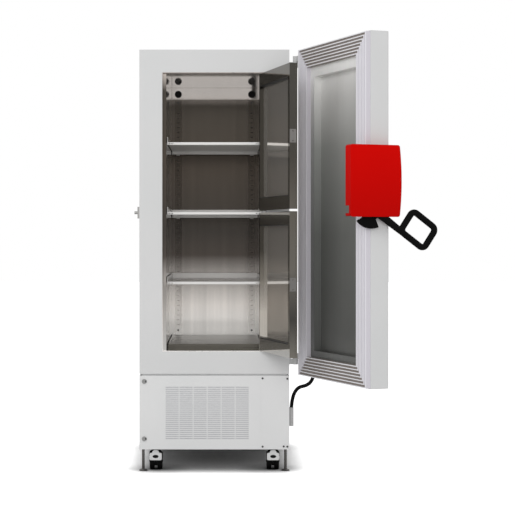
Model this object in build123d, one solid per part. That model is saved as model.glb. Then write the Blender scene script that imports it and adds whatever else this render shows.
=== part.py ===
from build123d import *
import math
import os

# Upright ultra low temperature freezer, millimetres. X to the right, Y to the back, Z up.
# The origin is on the floor, below the middle of the cabinet. Doors are drawn shut and then swung open.

CABINET_W = 700.0
CABINET_D = 930.0
CABINET_TOP_Z = 1968.0
CABINET_LOW_Z = 455.0
SHEET = 3.0
TOUCH_GAP = 1.0

STILE_W = 107.0
SILL_H = 104.0
HEADER_H = 106.0
OPENING_W = CABINET_W - 2 * STILE_W
OPENING_LOW_Z = CABINET_LOW_Z + SILL_H
OPENING_TOP_Z = CABINET_TOP_Z - HEADER_H
JAMB_DEPTH = 28.0
BREAKER_T = 3.0
BREAKER_SETBACK = 5.0

LINER_INSET = 18.0
LINER_DROP = 3.0
LINER_RISE = 12.0
BACK_WALL_T = 95.0
LINER_W = OPENING_W - 2 * LINER_INSET
LINER_LOW_Z = OPENING_LOW_Z - LINER_DROP
LINER_TOP_Z = OPENING_TOP_Z + LINER_RISE
LINER_BACK = CABINET_D - BACK_WALL_T
LINER_T = 2.0

SHELF_DROP = 8.0
SHELF_SPARE = 2.0
SHELF_PITCH = (LINER_TOP_Z - LINER_LOW_Z - SHELF_SPARE) / 4
SHELF_ORDER = {"bottom": 1, "middle": 2, "top": 3}
SHELF_SETBACK = 80.0
SHELF_TAIL_GAP = 37.0
SHELF_DEPTH = LINER_BACK - SHELF_SETBACK - SHELF_TAIL_GAP
SHELF_FACE_H = 12.0
SHELF_RIM_H = 24.0
SHELF_TAIL_H = 17.0
SHELF_T = 2.0
SHELF_SIDE_GAP = 3.0
SHELF_SLOT_W = 9.0
SHELF_SLOT_H = 3.6
RAIL_INSET = 33.5
RAIL_X = LINER_W / 2 - RAIL_INSET
RAIL_W = 33.0
RAIL_D = 20.0
RAIL_T = 2.0
RAIL_FOOT = 41.0
RAIL_HEAD = 68.0
RAIL_LOW_Z = LINER_LOW_Z + RAIL_FOOT
RAIL_TOP_Z = LINER_TOP_Z - RAIL_HEAD
RAIL_PITCH = 25.0
RAIL_SLOT_W = 12.0
RAIL_SLOT_H = 5.0
CLIP_T = 6.0
CLIP_W = 18.0
PEG_REACH = 16.0
TRAY_SETBACK = 140.0
TRAY_H = 29.0
TRAY_TOP_Z = LINER_LOW_Z + TRAY_H
TOP_PLATE_H = 61.0
TOP_PLATE_LOW_Z = LINER_TOP_Z - TOP_PLATE_H
TOP_PLATE_T = 3.0
PLUG_R = 18.0
PLUG_T = 8.0
PLUG_DROP = 34.0
PLUG_Z = LINER_TOP_Z - PLUG_DROP

BASE_LOW_Z = 103.0
BASE_SEAM = 8.0
BASE_TOP_Z = CABINET_LOW_Z - BASE_SEAM
SEAM_INSET = 12.0
GRILLE_LEFT = 123.0
GRILLE_RIGHT = 190.0
GRILLE_X0 = -CABINET_W / 2 + GRILLE_LEFT
GRILLE_X1 = CABINET_W / 2 - GRILLE_RIGHT
GRILLE_LOW_Z = 152.0
GRILLE_ROWS = 27
GRILLE_COLS = 6
GRILLE_PITCH = 9.2
GRILLE_SLOT_H = 3.6
GRILLE_BRIDGE = 5.0
GROOVE_RIGHT = 133.0
GROOVE_X = CABINET_W / 2 - GROOVE_RIGHT
GROOVE_W = 2.0
GROOVE_D = 1.2
GROOVE_LOW_Z = 159.0
GROOVE_H = 253.0
LOCK_LEFT = 23.0
LOCK_X = -CABINET_W / 2 + LOCK_LEFT
LOCK_LOW_Z = 152.5
LOCK_TOP_Z = 420.0
LOCK_HEAD_R = 11.0
LOCK_HEAD_T = 4.0
LOCK_STEM_R = 7.0
LOCK_CAM_L = 30.0
SCREW_R = 4.5
SCREW_RIGHT = 125.0
SCREW_EDGE = 9.5
SCREW_INNER = 26.5
SCREW_TOP = 12.5
SCREW_TOP_EDGE = 14.5
SCREW_LOW = 13.0
SCREW_LOW_INNER = 14.0
SCREW_T = 2.5
FILTER_T = 12.0
FILTER_LAP = 6.0
CONDENSER_SETBACK = 30.0
CONDENSER_T = 45.0
CONDENSER_TOP_Z = 404.0
FIN_COUNT = 18
FIN_GAP = 6.0
FIN_CUT = 16.0
SHROUD_T = 24.0
FAN_SIDE = 73.5
FAN_R = (GRILLE_X1 - GRILLE_X0) / 2 - FAN_SIDE
FAN_TIP_GAP = 8.0
FAN_HUB_R = 30.0
FAN_BLADES = 5
FAN_BLADE_W = 46.0
FAN_BLADE_T = 3.0
FAN_PITCH = 22.0
FAN_SHAFT_R = 6.0
FAN_Z = 262.0
MOTOR_R = 38.0
MOTOR_L = 46.0
COMPRESSOR_R = 92.0
COMPRESSOR_H = 235.0
COMPRESSOR_X = -150.0
COMPRESSOR_BACK_1 = 330.0
COMPRESSOR_BACK_2 = 600.0
COMPRESSOR_FOOT = 210.0
FOOT_PLATE_T = 8.0

DOOR_EDGE_GAP = 2.0
DOOR_DROP = 4.0
DOOR_W = CABINET_W - 2 * DOOR_EDGE_GAP
DOOR_LOW_Z = CABINET_LOW_Z - DOOR_DROP
DOOR_TOP_Z = CABINET_TOP_Z - DOOR_DROP
DOOR_SLAB_T = 86.0
DOOR_SHEET = 2.0
DOOR_OPEN = 111.2
GASKET_W = 90.0
GASKET_INSET = 3.0
GASKET_BASE_T = 6.0
GASKET_LIP_H = 18.0
GASKET_LIPS = 6
GASKET_LIP_W = 9.0
RECESS_SIDE = 130.0
RECESS_FOOT = 124.0
RECESS_HEAD = 139.0
RECESS_W = DOOR_W - 2 * RECESS_SIDE
RECESS_LOW_Z = DOOR_LOW_Z + RECESS_FOOT
RECESS_TOP_Z = DOOR_TOP_Z - RECESS_HEAD
RECESS_D = 35.0
PANEL_T = 2.0
DOOR_EDGE_R = 6.0
HINGE_OUT = 28.0
HINGE_X = CABINET_W / 2 + HINGE_OUT
HINGE_FORWARD = 3.0
HINGE_R = 12.0
HINGE_PIN_R = 6.0
HINGE_KNUCKLE_H = 26.0
HINGE_HEAD = 28.0
HINGE_FOOT = 49.0
HINGE_TOP_Z = DOOR_TOP_Z - HINGE_HEAD
HINGE_LOW_Z = DOOR_LOW_Z + HINGE_FOOT
HINGE_LEAF_T = 6.0
HINGE_LEAF_L = 70.0
RUN_FIT = 0.05
SIDE_FIT = 0.5

HOUSING_LOW_Z = 1177.0
HOUSING_TOP_Z = 1479.0
HOUSING_BACK = 95.0
HOUSING_FRONT = 134.0
HOUSING_CROWN = 9.0
HOUSING_W = 50.0
HOUSING_WALL = 3.0
HOUSING_EDGE_R = 10.0
LATCH_BASE_T = 4.0
PIVOT_FORWARD = 15.0
PIVOT_Z = 1212.0
PIVOT_R = 8.0
LEVER_T = 18.0
LEVER_ARM_W = 36.0
LEVER_REST = 35.0
LEVER_HUB_R = 20.0
LOOP_IN = 147.0
LOOP_OUT = 306.0
LOOP_H = 130.0
LOOP_BAR = 25.0
LOOP_EDGE_R = 9.0
CAM_T = 14.0
CAM_WEB_T = 3.0
CAM_HUB_R = 47.0
STRIKER_R = 7.0
STRIKER_REACH = 62.0
STRIKER_RISE = -4.0
STRIKER_L = 15.0
STRIKER_PLATE_T = 10.0
STRIKER_PLATE_W = 50.0
STRIKER_PLATE_H = 54.0
CAM_SLOT_GAP = 4.0
CAM_FINGER_W = 11.0
CAM_FROM = -112.0
CAM_TO = -38.0
NOTCH_GAP = 9.0

BEZEL_W = 260.0
BEZEL_H = 150.0
BEZEL_DROP = 364.0
BEZEL_LOW_Z = DOOR_TOP_Z - BEZEL_DROP
BEZEL_T = 6.0
DISPLAY_W = 170.0
DISPLAY_H = 105.0
DISPLAY_T = 2.0

INNER_SIDE_GAP = 7.0
INNER_W = OPENING_W - 2 * INNER_SIDE_GAP
INNER_T = 26.0
INNER_OPEN = 104.8
INNER_FOOT_GAP = 5.0
INNER_HEAD_GAP = 8.0
INNER_LOW_Z = OPENING_LOW_Z + INNER_FOOT_GAP
INNER_SPLIT_GAP = 10.0
INNER_TOP_Z = OPENING_TOP_Z - INNER_HEAD_GAP
INNER_SPLIT_RISE = 2.0
INNER_SPLIT_Z = (INNER_LOW_Z + INNER_TOP_Z) / 2 + INNER_SPLIT_RISE
INNER_RIM_Z = 58.0
INNER_RIM_FREE = 24.0
INNER_RIM_HINGE = 12.0
INNER_RECESS_D = 18.0
INNER_PIN_R = 3.5
INNER_PIN_IN = 5.0
INNER_PIN_L = 12.0
SEAL_T = 3.0
CATCH_W = 30.0
CATCH_H = 59.0
CATCH_T = 2.0
CATCH_SCREW_R = 3.0

CASTER_SIDE = 75.0
CASTER_X = CABINET_W / 2 - CASTER_SIDE
CASTER_INSET = 110.0
CASTER_TRAIL = 28.0
CASTER_PLATE = 90.0
CASTER_PLATE_T = 4.0
WHEEL_R = 38.0
WHEEL_W = 22.0
WHEEL_AXLE_R = 5.0
CASTER_WEB_W = 12.0
HOOD_GAP = 3.0
HOOD_T = 3.0
HOOD_LOW_Z = 46.0
SWIVEL_R = 14.0
PEDAL_W = 56.0
PEDAL_T = 7.0
PEDAL_LOW_Z = 44.0
PEDAL_PIN_Z = 68.0
PEDAL_PIN_R = 3.0
FOOT_SIDE = 17.0
FOOT_X = CABINET_W / 2 - FOOT_SIDE
FOOT_INSET = 30.0
FOOT_ROD_R = 6.5
FOOT_PAD_R = 19.0
FOOT_PAD_T = 8.0
FOOT_ROD_TOP_Z = 135.0

CABLE_R = 8.5
TUBE_R = 10.5
TUBE_LOW_Z = 209.0
TUBE_H = 87.0
TUBE_SETBACK = 30.0
CABLE_DOOR_SIDE = 48.0
CABLE_DOOR_X = DOOR_W / 2 - CABLE_DOOR_SIDE
CABLE_DOOR_DEPTH = 35.0
CABLE_BEND_LOW_Z = 350.0
CABLE_BEND_TOP_Z = 386.0
CABLE_IN_DOOR = 19.0
CABLE_RUN_SHARE = 0.45

FRONT = -CABINET_D / 2
BACK = CABINET_D / 2
HALF_W = CABINET_W / 2
HALF_OPEN = OPENING_W / 2
GASKET_Y = FRONT - TOUCH_GAP
SLAB_Y = GASKET_Y - GASKET_LIP_H - GASKET_BASE_T
SKIN_Y = SLAB_Y - DOOR_SLAB_T
HINGE = (HINGE_X, FRONT - HINGE_FORWARD)
INNER_Y = FRONT + TOUCH_GAP
INNER_PIN = (INNER_W / 2 - INNER_PIN_IN, INNER_Y + INNER_PIN_IN)
PIVOT_Y = FRONT - PIVOT_FORWARD
STRIKER_Y = PIVOT_Y + STRIKER_REACH
STRIKER_Z = PIVOT_Z + STRIKER_RISE
STRIKER_AT = math.hypot(STRIKER_REACH, STRIKER_RISE)
TUBE_X = HALF_W + TUBE_R
TUBE_Y = FRONT + TUBE_SETBACK


def block(x0, x1, y0, y1, z0, z1):
    size = Box(x1 - x0, y1 - y0, z1 - z0, align=(Align.MIN, Align.MIN, Align.MIN))
    return Pos(x0, y0, z0) * size


def rod_x(r, x0, x1, y, z):
    return Pos((x0 + x1) / 2, y, z) * Rot(0, 90, 0) * Cylinder(r, abs(x1 - x0))


def rod_y(r, y0, y1, x, z):
    return Pos(x, (y0 + y1) / 2, z) * Rot(90, 0, 0) * Cylinder(r, abs(y1 - y0))


def rod_z(r, z0, z1, x, y):
    return Pos(x, y, (z0 + z1) / 2) * Cylinder(r, abs(z1 - z0))


def swing(shape, at, angle):
    return shape.rotate(Axis((at[0], at[1], 0), (0, 0, 1)), angle)


def cabinet_shell():
    y0 = FRONT + SHEET
    shell = block(-HALF_W, HALF_W, y0, BACK, CABINET_LOW_Z, CABINET_TOP_Z)
    return shell - block(-HALF_W + SHEET, HALF_W - SHEET, y0 - 1, BACK - SHEET,
                         CABINET_LOW_Z + SHEET, CABINET_TOP_Z - SHEET)


def jamb_block(grow, y0, y1):
    return block(-HALF_OPEN - grow, HALF_OPEN + grow, y0, y1, OPENING_LOW_Z - grow, OPENING_TOP_Z + grow)


def front_frame():
    plate = block(-HALF_W, HALF_W, FRONT, FRONT + SHEET, CABINET_LOW_Z, CABINET_TOP_Z)
    plate = plate + jamb_block(SHEET, FRONT + SHEET, FRONT + JAMB_DEPTH)
    return plate - jamb_block(0, FRONT - 1, FRONT + JAMB_DEPTH + 1)


def breaker_strip():
    y0 = FRONT + BREAKER_SETBACK
    ring = jamb_block(0, y0, FRONT + JAMB_DEPTH)
    return ring - jamb_block(-BREAKER_T, y0 - 1, FRONT + JAMB_DEPTH + 1)


def liner_block(grow, y0, y1):
    return block(-LINER_W / 2 - grow, LINER_W / 2 + grow, y0, y1, LINER_LOW_Z - grow, LINER_TOP_Z + grow)


def flange_block():
    y0 = FRONT + JAMB_DEPTH
    low = min(LINER_LOW_Z - LINER_T, OPENING_LOW_Z - SHEET)
    high = max(LINER_TOP_Z + LINER_T, OPENING_TOP_Z + SHEET)
    return block(-HALF_OPEN - SHEET, HALF_OPEN + SHEET, y0, y0 + LINER_T, low, high)


def inner_liner():
    y0 = FRONT + JAMB_DEPTH + LINER_T
    tub = liner_block(LINER_T, y0, FRONT + LINER_BACK + LINER_T)
    tub = tub - liner_block(0, y0 - 1, FRONT + LINER_BACK)
    mouth = block(-LINER_W / 2, LINER_W / 2, FRONT, y0 + 1, OPENING_LOW_Z, OPENING_TOP_Z)
    return tub + (flange_block() - mouth)


def insulation():
    y0 = FRONT + SHEET
    foam = block(-HALF_W + SHEET, HALF_W - SHEET, y0, BACK - SHEET,
                 CABINET_LOW_Z + SHEET, CABINET_TOP_Z - SHEET)
    foam = foam - jamb_block(SHEET, y0 - 1, FRONT + JAMB_DEPTH) - flange_block()
    return foam - liner_block(LINER_T, FRONT + JAMB_DEPTH, FRONT + LINER_BACK + LINER_T)


def shelf_levels():
    return {name: LINER_LOW_Z - SHELF_DROP + n * SHELF_PITCH for name, n in SHELF_ORDER.items()}


def rear_top_plate():
    x1 = LINER_W / 2 - TOUCH_GAP
    y1 = FRONT + LINER_BACK
    return block(-x1, x1, y1 - TOP_PLATE_T, y1, TOP_PLATE_LOW_Z, LINER_TOP_Z - TOUCH_GAP)


def port_plugs():
    y1 = FRONT + LINER_BACK - TOP_PLATE_T
    return [rod_y(PLUG_R, y1 - PLUG_T, y1, side * RAIL_X, PLUG_Z) for side in (-1, 1)]


def shelf_rail(side):
    x = side * RAIL_X
    y1 = FRONT + LINER_BACK
    rail = block(x - RAIL_W / 2, x + RAIL_W / 2, y1 - RAIL_D, y1, RAIL_LOW_Z, RAIL_TOP_Z)
    rail = rail - block(x - RAIL_W / 2 + RAIL_T, x + RAIL_W / 2 - RAIL_T, y1 - RAIL_D + RAIL_T, y1 + 1,
                        RAIL_LOW_Z - 1, RAIL_TOP_Z + 1)
    count = int((RAIL_TOP_Z - RAIL_LOW_Z - 60) // RAIL_PITCH)
    slots = [block(x - RAIL_SLOT_W / 2, x + RAIL_SLOT_W / 2, y1 - RAIL_D - 1, y1 - RAIL_D + RAIL_T + 1,
                   RAIL_LOW_Z + 40 + i * RAIL_PITCH, RAIL_LOW_Z + 40 + i * RAIL_PITCH + RAIL_SLOT_H)
             for i in range(count)]
    return rail - slots


def shelf_floor_z(level):
    return level + SHELF_FACE_H / 2


def shelf(level):
    x1 = LINER_W / 2 - SHELF_SIDE_GAP
    y0 = FRONT + SHELF_SETBACK
    y1 = y0 + SHELF_DEPTH
    top = shelf_floor_z(level)
    tray = block(-x1, x1, y0, y1, top - SHELF_T, top)
    tray = tray + block(-x1, x1, y0, y0 + SHELF_T, level - SHELF_FACE_H / 2, top)
    tray = tray + block(-x1, x1, y1 - SHELF_T, y1, top - SHELF_TAIL_H, top + SHELF_RIM_H)
    for side in (-1, 1):
        a, b = sorted((side * x1, side * (x1 - SHELF_T)))
        tray = tray + block(a, b, y0, y1, top - SHELF_T, top + SHELF_RIM_H)
        for i in (0, 1):
            c = side * (x1 - SHELF_SLOT_W - i * 1.5 * SHELF_SLOT_W)
            tray = tray - block(c - SHELF_SLOT_W / 2, c + SHELF_SLOT_W / 2, y0 - 1, y0 + SHELF_T + 1,
                                level - SHELF_SLOT_H / 2 - 1, level + SHELF_SLOT_H / 2 - 1)
    return tray


def shelf_clips():
    clips = []
    rail_y = FRONT + LINER_BACK - RAIL_D
    tail_y = FRONT + SHELF_SETBACK + SHELF_DEPTH
    peg_y = FRONT + SHELF_SETBACK + 4 * CLIP_W
    for level in shelf_levels().values():
        top = shelf_floor_z(level)
        for side in (-1, 1):
            x = side * RAIL_X
            clips.append(block(x - CLIP_W / 2, x + CLIP_W / 2, tail_y - CLIP_W, rail_y,
                               top - SHELF_TAIL_H - CLIP_T, top - SHELF_TAIL_H))
            a, b = sorted((side * LINER_W / 2, side * (LINER_W / 2 - PEG_REACH)))
            clips.append(block(a, b, peg_y, peg_y + CLIP_W, top - SHELF_T - CLIP_T, top - SHELF_T))
    return clips


def floor_tray():
    x1 = LINER_W / 2 - SHELF_SIDE_GAP
    y0 = FRONT + TRAY_SETBACK
    y1 = FRONT + LINER_BACK - TOUCH_GAP
    tray = block(-x1, x1, y0, y1, LINER_LOW_Z, TRAY_TOP_Z)
    return tray - block(-x1 + SHELF_T, x1 - SHELF_T, y0 + SHELF_T, y1 - SHELF_T,
                        LINER_LOW_Z - 1, TRAY_TOP_Z - SHELF_T)


def base_shell():
    y0 = FRONT + SHEET
    base = block(-HALF_W, HALF_W, y0, BACK, BASE_LOW_Z, BASE_TOP_Z)
    base = base - block(-HALF_W + SHEET, HALF_W - SHEET, y0 - 1, BACK - SHEET,
                        BASE_LOW_Z + SHEET, BASE_TOP_Z - SHEET)
    base = base + block(-HALF_W + SEAM_INSET, HALF_W - SEAM_INSET, y0 + SEAM_INSET, BACK - SEAM_INSET,
                        BASE_TOP_Z - SHEET, CABINET_LOW_Z)
    holes = [rod_z(FOOT_ROD_R + RUN_FIT, BASE_LOW_Z - 1, BASE_LOW_Z + SHEET + 1, side * FOOT_X,
                   FRONT + FOOT_INSET) for side in (-1, 1)]
    return base - holes


def service_panel():
    panel = block(-HALF_W, HALF_W, FRONT, FRONT + SHEET, BASE_LOW_Z, BASE_TOP_Z)
    step = (GRILLE_X1 - GRILLE_X0 + GRILLE_BRIDGE) / GRILLE_COLS
    slots = []
    for row in range(GRILLE_ROWS):
        z = GRILLE_LOW_Z + row * GRILLE_PITCH
        for col in range(GRILLE_COLS):
            x = GRILLE_X0 + col * step
            slots.append(block(x, x + step - GRILLE_BRIDGE, FRONT - 1, FRONT + SHEET + 1,
                               z, z + GRILLE_SLOT_H))
    panel = panel - slots
    panel = panel - block(GROOVE_X - GROOVE_W / 2, GROOVE_X + GROOVE_W / 2, FRONT - 1, FRONT + GROOVE_D,
                          GROOVE_LOW_Z, GROOVE_LOW_Z + GROOVE_H)
    locks = [rod_y(LOCK_STEM_R + RUN_FIT, FRONT - 1, FRONT + SHEET + 1, LOCK_X, z)
             for z in (LOCK_LOW_Z, LOCK_TOP_Z)]
    return panel - locks


def cam_lock(z):
    y0 = FRONT - SIDE_FIT
    lock = rod_y(LOCK_HEAD_R, y0 - LOCK_HEAD_T, y0, LOCK_X, z)
    lock = lock + rod_y(LOCK_STEM_R, y0, FRONT + SHEET + SIDE_FIT + SHEET, LOCK_X, z)
    lock = lock + block(LOCK_X - LOCK_STEM_R, LOCK_X + LOCK_CAM_L, FRONT + SHEET + SIDE_FIT,
                        FRONT + 2 * SHEET + SIDE_FIT, z - LOCK_STEM_R, z + LOCK_STEM_R)
    key = Pos(LOCK_X, y0 - LOCK_HEAD_T / 2, z) * Rot(90, 0, 0) * extrude(
        RegularPolygon(LOCK_HEAD_R * 0.75, 3, rotation=-90), LOCK_HEAD_T)
    return lock - key


def screw_heads():
    inner, edge = HALF_W - SCREW_RIGHT, HALF_W - SCREW_EDGE
    low, high = BASE_LOW_Z + SCREW_LOW, BASE_TOP_Z - SCREW_TOP
    spots = [(inner, high), (inner, low), (edge, BASE_TOP_Z - SCREW_TOP_EDGE),
             (HALF_W - SCREW_INNER, BASE_LOW_Z + SCREW_LOW_INNER), (edge, low)]
    heads = [rod_y(SCREW_R, FRONT - SCREW_T, FRONT, x, z) for x, z in spots]
    rail_y = FRONT + LINER_BACK - RAIL_D
    for side in (-1, 1):
        for z in (RAIL_LOW_Z + RAIL_SLOT_W, RAIL_TOP_Z - RAIL_SLOT_W):
            heads.append(rod_y(SCREW_R, rail_y - SCREW_T, rail_y, side * RAIL_X, z))
    return heads


def grille_top_z():
    return GRILLE_LOW_Z + (GRILLE_ROWS - 1) * GRILLE_PITCH + GRILLE_SLOT_H


def filter_mat():
    y0 = FRONT + SHEET
    return block(GRILLE_X0 - FILTER_LAP, GRILLE_X1 + FILTER_LAP, y0, y0 + FILTER_T,
                 GRILLE_LOW_Z - FILTER_LAP, grille_top_z() + FILTER_LAP)


def condenser():
    y0 = FRONT + CONDENSER_SETBACK
    coil = block(GRILLE_X0, GRILLE_X1, y0, y0 + CONDENSER_T, BASE_LOW_Z + SHEET, CONDENSER_TOP_Z)
    step = (GRILLE_X1 - GRILLE_X0) / FIN_COUNT
    cuts = [block(GRILLE_X0 + (i + 0.5) * step - FIN_GAP / 2, GRILLE_X0 + (i + 0.5) * step + FIN_GAP / 2,
                  y0 - 1, y0 + FIN_CUT, GRILLE_LOW_Z, CONDENSER_TOP_Z - FIN_CUT) for i in range(FIN_COUNT)]
    return coil - cuts


def fan_x():
    return (GRILLE_X0 + GRILLE_X1) / 2


def shroud_y():
    return FRONT + CONDENSER_SETBACK + CONDENSER_T


def fan_shroud():
    y0 = shroud_y()
    y1 = y0 + SHROUD_T
    shroud = block(GRILLE_X0, GRILLE_X1, y0, y1, BASE_LOW_Z + SHEET, CONDENSER_TOP_Z)
    shroud = shroud - rod_y(FAN_R + FAN_TIP_GAP, y0 - 1, y1 + 1, fan_x(), FAN_Z)
    shroud = shroud + block(GRILLE_X0, GRILLE_X1, y1, y1 + CLIP_T, FAN_Z - CLIP_W, FAN_Z + CLIP_W)
    shroud = shroud + rod_y(MOTOR_R, y1, y1 + MOTOR_L, fan_x(), FAN_Z)
    return shroud + rod_y(FAN_SHAFT_R, y0 + TOUCH_GAP, y1, fan_x(), FAN_Z)


def fan_rotor():
    y0 = shroud_y() + 2 * TOUCH_GAP
    y1 = shroud_y() + SHROUD_T - 2 * TOUCH_GAP
    mid = (y0 + y1) / 2
    rotor = rod_y(FAN_HUB_R, y0, y1, fan_x(), FAN_Z)
    for i in range(FAN_BLADES):
        blade = Box(FAN_BLADE_W, FAN_BLADE_T, FAN_R - FAN_HUB_R + 4,
                    align=(Align.CENTER, Align.CENTER, Align.MIN))
        blade = Pos(0, 0, FAN_HUB_R - 4) * Rot(0, 0, FAN_PITCH) * blade
        rotor = rotor + Pos(fan_x(), mid, FAN_Z) * Rot(0, i * 360 / FAN_BLADES, 0) * blade
    return rotor - rod_y(FAN_SHAFT_R + RUN_FIT, y0 - 5, y1 + 5, fan_x(), FAN_Z)


def compressor(back):
    y = FRONT + back
    z0 = BASE_LOW_Z + SHEET
    half = COMPRESSOR_FOOT / 2
    foot = block(COMPRESSOR_X - half, COMPRESSOR_X + half, y - half, y + half, z0, z0 + FOOT_PLATE_T)
    pot = Pos(COMPRESSOR_X, y, z0 + FOOT_PLATE_T + COMPRESSOR_H / 2) * Cylinder(COMPRESSOR_R, COMPRESSOR_H)
    pot = fillet(pot.edges().sort_by(Axis.Z)[-1], COMPRESSOR_R * 0.45)
    return foot + pot


def striker_plate():
    x1 = -HALF_W
    return block(x1 - STRIKER_PLATE_T, x1, STRIKER_Y - STRIKER_PLATE_W / 2, STRIKER_Y + STRIKER_PLATE_W / 2,
                 STRIKER_Z - STRIKER_PLATE_H / 2, STRIKER_Z + STRIKER_PLATE_H / 2)


def striker_pin():
    x1 = -HALF_W - STRIKER_PLATE_T
    return rod_x(STRIKER_R, x1 - STRIKER_L, x1, STRIKER_Y, STRIKER_Z)


def hinge_knuckle(z0):
    return rod_z(HINGE_R, z0, z0 + HINGE_KNUCKLE_H, HINGE[0], HINGE[1])


def hinge_bores(z0, z1):
    return rod_z(HINGE_PIN_R + RUN_FIT, z0, z1, HINGE[0], HINGE[1])


def hinge_levels():
    return [(z, z + HINGE_KNUCKLE_H + SIDE_FIT) for z in
            (HINGE_TOP_Z - 2 * HINGE_KNUCKLE_H - SIDE_FIT, HINGE_LOW_Z)]


def hinge_brackets():
    brackets = []
    for low, high in hinge_levels():
        leaf = block(HALF_W, HALF_W + HINGE_LEAF_T, HINGE[1], HINGE[1] + HINGE_LEAF_L + HINGE_R,
                     low, low + HINGE_KNUCKLE_H)
        arm = block(HALF_W, HINGE[0], HINGE[1], HINGE[1] + HINGE_R, low, low + HINGE_KNUCKLE_H)
        body = hinge_knuckle(low) + arm + leaf
        body = body - block(0, HALF_W, FRONT - CABINET_D, BACK, low - 1, high + 1)
        brackets.append(body - rod_z(HINGE_PIN_R, low - 1, high, HINGE[0], HINGE[1]))
    return brackets


def hinge_pins():
    return [rod_z(HINGE_PIN_R, low, high + HINGE_KNUCKLE_H, HINGE[0], HINGE[1])
            for low, high in hinge_levels()]


def hinge_leaves():
    leaves = []
    x0 = DOOR_W / 2
    for low, high in hinge_levels():
        top = high + HINGE_KNUCKLE_H
        leaf = block(x0, x0 + HINGE_LEAF_T, SLAB_Y - HINGE_LEAF_L, HINGE[1], high, top)
        arm = block(x0, HINGE[0], HINGE[1] - HINGE_R, HINGE[1], high, top)
        leaf = leaf + arm + hinge_knuckle(high)
        leaf = leaf - block(0, x0, FRONT - CABINET_D, BACK, low, top + 1)
        leaves.append(leaf - hinge_bores(high - 1, top + 1))
    return leaves


def door_inner_block(grow, depth):
    return block(-RECESS_W / 2 - grow, RECESS_W / 2 + grow, SLAB_Y - depth - grow, SLAB_Y,
                 RECESS_LOW_Z - grow, RECESS_TOP_Z + grow)


def door_plate():
    x1 = DOOR_W / 2 - GASKET_INSET - GASKET_W
    return block(-x1, x1, SLAB_Y - PANEL_T, SLAB_Y, DOOR_LOW_Z + GASKET_INSET + GASKET_W,
                 DOOR_TOP_Z - GASKET_INSET - GASKET_W)


def door_core():
    x1 = DOOR_W / 2 - DOOR_SHEET
    core = block(-x1, x1, SKIN_Y + DOOR_SHEET, SLAB_Y - DOOR_SHEET,
                 DOOR_LOW_Z + DOOR_SHEET, DOOR_TOP_Z - DOOR_SHEET)
    return fillet(core.faces().sort_by(Axis.Y)[0].edges(), DOOR_EDGE_R - DOOR_SHEET)


def cable_hole():
    return rod_z(CABLE_R + 1, DOOR_LOW_Z - 1, DOOR_LOW_Z + 20, CABLE_DOOR_X, SLAB_Y - CABLE_DOOR_DEPTH)


def door_shell():
    slab = block(-DOOR_W / 2, DOOR_W / 2, SKIN_Y, SLAB_Y, DOOR_LOW_Z, DOOR_TOP_Z)
    slab = fillet(slab.faces().sort_by(Axis.Y)[0].edges(), DOOR_EDGE_R)
    return slab - door_core() - door_plate() - cable_hole()


def door_foam():
    return door_core() - door_inner_block(PANEL_T, RECESS_D) - cable_hole()


def door_inner_panel():
    return door_plate() + door_inner_block(PANEL_T, RECESS_D) - (
        Pos(0, 1, 0) * door_inner_block(0, RECESS_D + 1))


def ring(inset_out, inset_in, y0, y1):
    x1 = DOOR_W / 2 - GASKET_INSET
    z0 = DOOR_LOW_Z + GASKET_INSET
    z1 = DOOR_TOP_Z - GASKET_INSET
    outer = block(-x1 + inset_out, x1 - inset_out, y0, y1, z0 + inset_out, z1 - inset_out)
    return outer - block(-x1 + inset_in, x1 - inset_in, y0 - 1, y1 + 1, z0 + inset_in, z1 - inset_in)


def door_gasket():
    seal = ring(0, GASKET_W, SLAB_Y, SLAB_Y + GASKET_BASE_T)
    step = (GASKET_W - GASKET_LIP_W) / (GASKET_LIPS - 1)
    for i in range(GASKET_LIPS):
        seal = seal + ring(i * step, i * step + GASKET_LIP_W, SLAB_Y + GASKET_BASE_T, GASKET_Y)
    return seal


def latch_base():
    x1 = -DOOR_W / 2
    plate = block(x1 - LATCH_BASE_T, x1, SKIN_Y + DOOR_EDGE_R, SLAB_Y, HOUSING_LOW_Z, HOUSING_TOP_Z)
    plate = plate + block(x1 - LATCH_BASE_T, x1, SLAB_Y - CLIP_W, GASKET_Y - TOUCH_GAP + HINGE_R,
                          PIVOT_Z - LEVER_HUB_R, PIVOT_Z + LEVER_HUB_R)
    plate = plate - block(-DOOR_W / 2 - LATCH_BASE_T, 0, FRONT - SIDE_FIT, BACK, 0, CABINET_TOP_Z)
    x0 = x1 - HOUSING_W + HOUSING_WALL + TOUCH_GAP
    return plate + rod_x(PIVOT_R, x0, x1 - LATCH_BASE_T, PIVOT_Y, PIVOT_Z)


def crowned_block(x0, x1, front, back, low, high):
    rear = Polyline((x0, front, high), (x0, back, high), (x0, back, low), (x0, front, low))
    crown = ThreePointArc((x0, front, low), (x0, front - HOUSING_CROWN, (low + high) / 2), (x0, front, high))
    return extrude(Face(Wire([*rear.edges(), crown])), amount=x1 - x0, dir=(1, 0, 0))


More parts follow.
